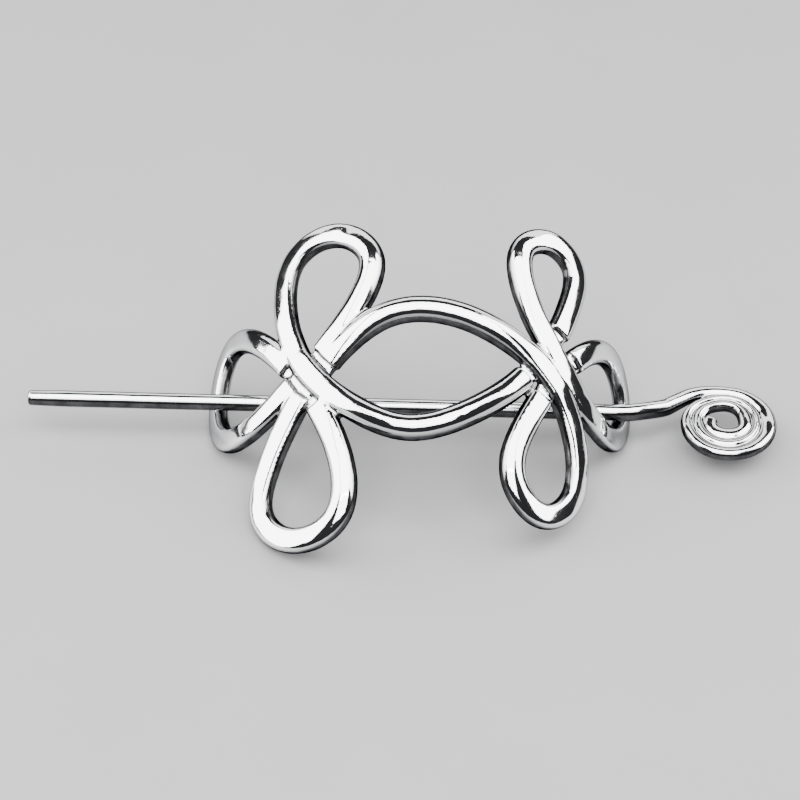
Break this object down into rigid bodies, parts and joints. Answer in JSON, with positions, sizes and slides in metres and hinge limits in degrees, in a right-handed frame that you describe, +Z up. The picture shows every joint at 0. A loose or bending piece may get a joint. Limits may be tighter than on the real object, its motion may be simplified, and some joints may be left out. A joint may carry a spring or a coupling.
{
  "type": "hair slide with a stick",
  "caption": "Bowed openwork knot slide for hair, with a straight stick that slides through its end loops and ends in a flat wound spiral.",
  "frame": {"origin": "on the surface it rests on, under the middle of the whole thing's box", "axes": "+X runs along the stick towards its spiral, +Z up, and the front petals are towards -Y"},
  "size_m": [0.1369, 0.0565, 0.0356],
  "materials": {
    "slide_metal": "bright plated white metal casting, with slightly wavy polished faces",
    "stick_metal": "bright plated white metal casting"
  },
  "bodies": {
    "slide": {"knot_slide": "slide_metal"},
    "stick": {"hair_stick": "stick_metal"}
  },
  "joints": [
    {"name": "stick_slide", "type": "slide", "parent": "slide", "child": "stick", "axis": [0.9994, -0.033, -0.0047], "range_m": [-0.001, 0.03]}
  ]
}
